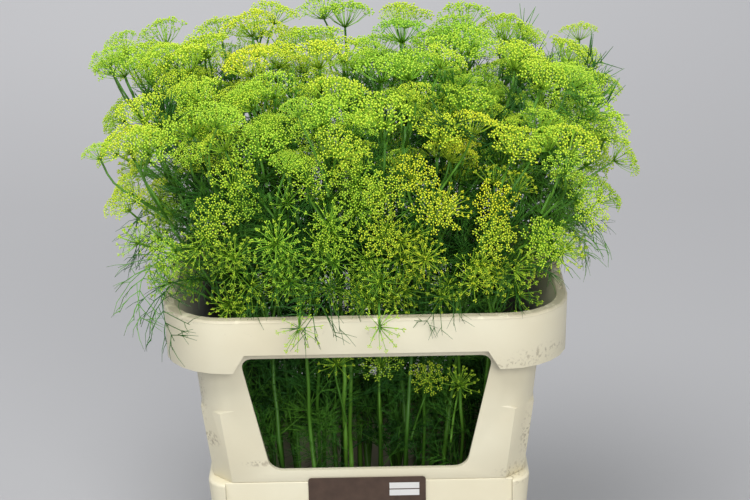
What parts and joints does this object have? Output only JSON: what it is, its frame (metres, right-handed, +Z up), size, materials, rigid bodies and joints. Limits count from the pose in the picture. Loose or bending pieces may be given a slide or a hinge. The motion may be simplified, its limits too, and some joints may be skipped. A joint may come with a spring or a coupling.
{
  "type": "dill bunch in a flower bucket",
  "caption": "Dense bunch of flowering dill stems standing in a cream plastic flower bucket with a windowed collar.",
  "frame": {"origin": "middle of the bucket's foot, on the surface it stands on", "axes": "+Z up along the stems, -Y towards the side with the label, +X to the right when facing the label"},
  "size_m": [0.526, 0.3892, 0.6279],
  "materials": {
    "cream_plastic": "satin",
    "label_card": "matte",
    "dill_green": "matte"
  },
  "bodies": {
    "root": {"bucket": "cream_plastic", "collar": "cream_plastic", "label": "label_card", "dill_stem_01": "dill_green", "dill_stem_02": "dill_green", "dill_stem_03": "dill_green", "dill_stem_04": "dill_green", "dill_stem_05": "dill_green", "dill_stem_06": "dill_green", "dill_stem_07": "dill_green", "dill_stem_08": "dill_green", "dill_stem_09": "dill_green", "dill_stem_10": "dill_green", "dill_stem_11": "dill_green", "dill_stem_12": "dill_green", "dill_stem_13": "dill_green", "dill_stem_14": "dill_green", "dill_stem_15": "dill_green", "dill_stem_16": "dill_green", "dill_stem_17": "dill_green", "dill_stem_18": "dill_green", "dill_stem_19": "dill_green", "dill_stem_20": "dill_green", "dill_stem_21": "dill_green", "dill_stem_22": "dill_green", "dill_stem_23": "dill_green", "dill_stem_24": "dill_green", "dill_stem_25": "dill_green", "dill_stem_26": "dill_green", "dill_stem_27": "dill_green", "dill_stem_28": "dill_green", "dill_stem_29": "dill_green", "dill_stem_30": "dill_green", "dill_stem_31": "dill_green", "dill_stem_32": "dill_green", "dill_stem_33": "dill_green", "dill_stem_34": "dill_green", "dill_stem_35": "dill_green", "dill_stem_36": "dill_green", "dill_stem_37": "dill_green", "dill_stem_38": "dill_green", "dill_stem_39": "dill_green", "dill_stem_40": "dill_green", "dill_stem_41": "dill_green", "dill_stem_42": "dill_green", "dill_stem_43": "dill_green", "dill_stem_44": "dill_green", "dill_stem_45": "dill_green", "dill_stem_46": "dill_green", "dill_stem_47": "dill_green", "dill_stem_48": "dill_green"}
  },
  "joints": []
}
